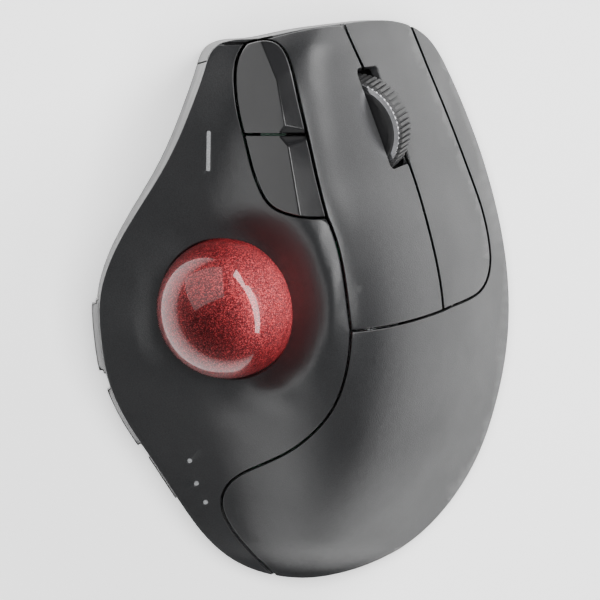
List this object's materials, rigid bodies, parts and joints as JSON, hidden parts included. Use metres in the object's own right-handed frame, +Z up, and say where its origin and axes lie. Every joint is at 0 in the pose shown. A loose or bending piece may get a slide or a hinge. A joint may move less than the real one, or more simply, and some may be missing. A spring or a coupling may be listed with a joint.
{
  "type": "trackball mouse",
  "caption": "Upright right-hand trackball mouse with a thumb ball in a scooped bowl, split main buttons, a scroll wheel and ridge keys.",
  "frame": {"origin": "centre of the bounding rectangle of the mouse, on the plane its feet stand on", "axes": "+Z up, +Y to the front of the mouse (away from the user), +X to the palm side"},
  "size_m": [0.1042, 0.139, 0.0704],
  "materials": {
    "shell": "fine-grained matt charcoal moulding",
    "key_gloss": "semi-gloss black",
    "base": "matt charcoal",
    "ball_core": "moulded red",
    "ball_red": "deep red with metallic flake under a clear gloss",
    "rubber": "ribbed soft rubber",
    "feet": "smooth dark rubber pad",
    "bright_ring": "satin bright ring",
    "wheel_plastic": "black moulding",
    "steel": "ground steel",
    "inner_plastic": "black inner moulding",
    "board": "green circuit board",
    "component": "black component body",
    "lens": "clear moulded lens",
    "guide": "smoked translucent light guide",
    "battery": "plain wrapped cell",
    "contact": "nickel plated spring plate"
  },
  "bodies": {
    "base": {"back_switch": "component", "ball_cup": "inner_plastic", "ball_sensor": "component", "battery": "battery", "battery_contacts": "contact", "bearing_balls": "steel", "bottom_shell": "base", "button_board": "board", "forward_switch": "component", "front_bezel": "shell", "indicator_lights": "guide", "inner_frame": "inner_plastic", "key_board": "board", "left_switch": "component", "light_guide": "guide", "main_board": "board", "middle_switch": "component", "palm_cover": "shell", "right_switch": "component", "rubber_feet": "feet", "sensor_board": "board", "sensor_lens": "lens", "shell_screws": "steel", "side_switches": "component", "thumb_panel": "shell", "usb_receiver": "component"},
    "left_button": {"left_button": "shell"},
    "right_button": {"right_button": "shell"},
    "forward_button": {"forward_button": "key_gloss"},
    "back_button": {"back_button": "key_gloss"},
    "speed_button": {"speed_button": "key_gloss"},
    "mode_button": {"mode_button": "key_gloss"},
    "connection_button": {"connection_button": "key_gloss"},
    "wheel_carrier": {"wheel_carrier": "inner_plastic", "wheel_axle": "steel", "wheel_encoder": "component"},
    "wheel": {"wheel_tyre": "rubber", "wheel_hub": "wheel_plastic", "wheel_rim_ring": "bright_ring"},
    "ball_core": {"ball_core": "ball_core"},
    "ball_inner": {"ball_inner_layer": "ball_core"},
    "ball_outer": {"ball_outer_layer": "ball_red"},
    "battery_door": {"battery_door": "base"},
    "power_switch": {"power_switch": "key_gloss"}
  },
  "joints": [
    {"name": "left_click", "type": "hinge", "parent": "base", "child": "left_button", "pos_m": [0.0194, -0.0028, 0.054], "axis": [0.9106, 0.05, -0.4103], "range_deg": [-0.5, 0], "stiffness_Nm_per_rad": 3},
    {"name": "right_click", "type": "hinge", "parent": "base", "child": "right_button", "pos_m": [0.0384, 0.0002, 0.027], "axis": [0.852, 0.0501, -0.5212], "range_deg": [-0.5, 0], "stiffness_Nm_per_rad": 3},
    {"name": "forward_press", "type": "slide", "parent": "base", "child": "forward_button", "axis": [0.2, 0, -0.9798], "range_m": [0, 0.0006], "stiffness_N_per_m": 400},
    {"name": "back_press", "type": "slide", "parent": "base", "child": "back_button", "axis": [0.2, 0, -0.9798], "range_m": [0, 0.0006], "stiffness_N_per_m": 400},
    {"name": "speed_press", "type": "slide", "parent": "base", "child": "speed_button", "axis": [0.9945, 0.1045, 0], "range_m": [0, 0.0006], "stiffness_N_per_m": 400},
    {"name": "mode_press", "type": "slide", "parent": "base", "child": "mode_button", "axis": [0.887, 0.4618, 0], "range_m": [0, 0.0006], "stiffness_N_per_m": 400},
    {"name": "connection_press", "type": "slide", "parent": "base", "child": "connection_button", "axis": [0.8387, 0.5446, 0], "range_m": [0, 0.0004], "stiffness_N_per_m": 400},
    {"name": "middle_press", "type": "slide", "parent": "base", "child": "wheel_carrier", "axis": [-0.7439, -0.4075, -0.5296], "range_m": [0, 0.0005], "stiffness_N_per_m": 600},
    {"name": "wheel_spin", "type": "hinge", "parent": "wheel_carrier", "child": "wheel", "pos_m": [0.01135, 0.0429, 0.04446], "axis": [-0.4645, -0.2545, 0.8482], "continuous": true},
    {"name": "ball_turn", "type": "hinge", "parent": "base", "child": "ball_core", "pos_m": [-0.0196, -0.0005, 0.037], "axis": [0, 0, 1], "continuous": true},
    {"name": "ball_roll_sideways", "type": "hinge", "parent": "ball_core", "child": "ball_inner", "pos_m": [-0.0196, -0.0005, 0.037], "axis": [0, 1, 0], "continuous": true},
    {"name": "ball_roll_forward", "type": "hinge", "parent": "ball_inner", "child": "ball_outer", "pos_m": [-0.0196, -0.0005, 0.037], "axis": [1, 0, 0], "continuous": true},
    {"name": "door_lift", "type": "slide", "parent": "base", "child": "battery_door", "axis": [0, 0, -1], "range_m": [0, 0.015]},
    {"name": "power_slide", "type": "slide", "parent": "base", "child": "power_switch", "axis": [0, 1, 0], "range_m": [0, 0.0044]}
  ]
}
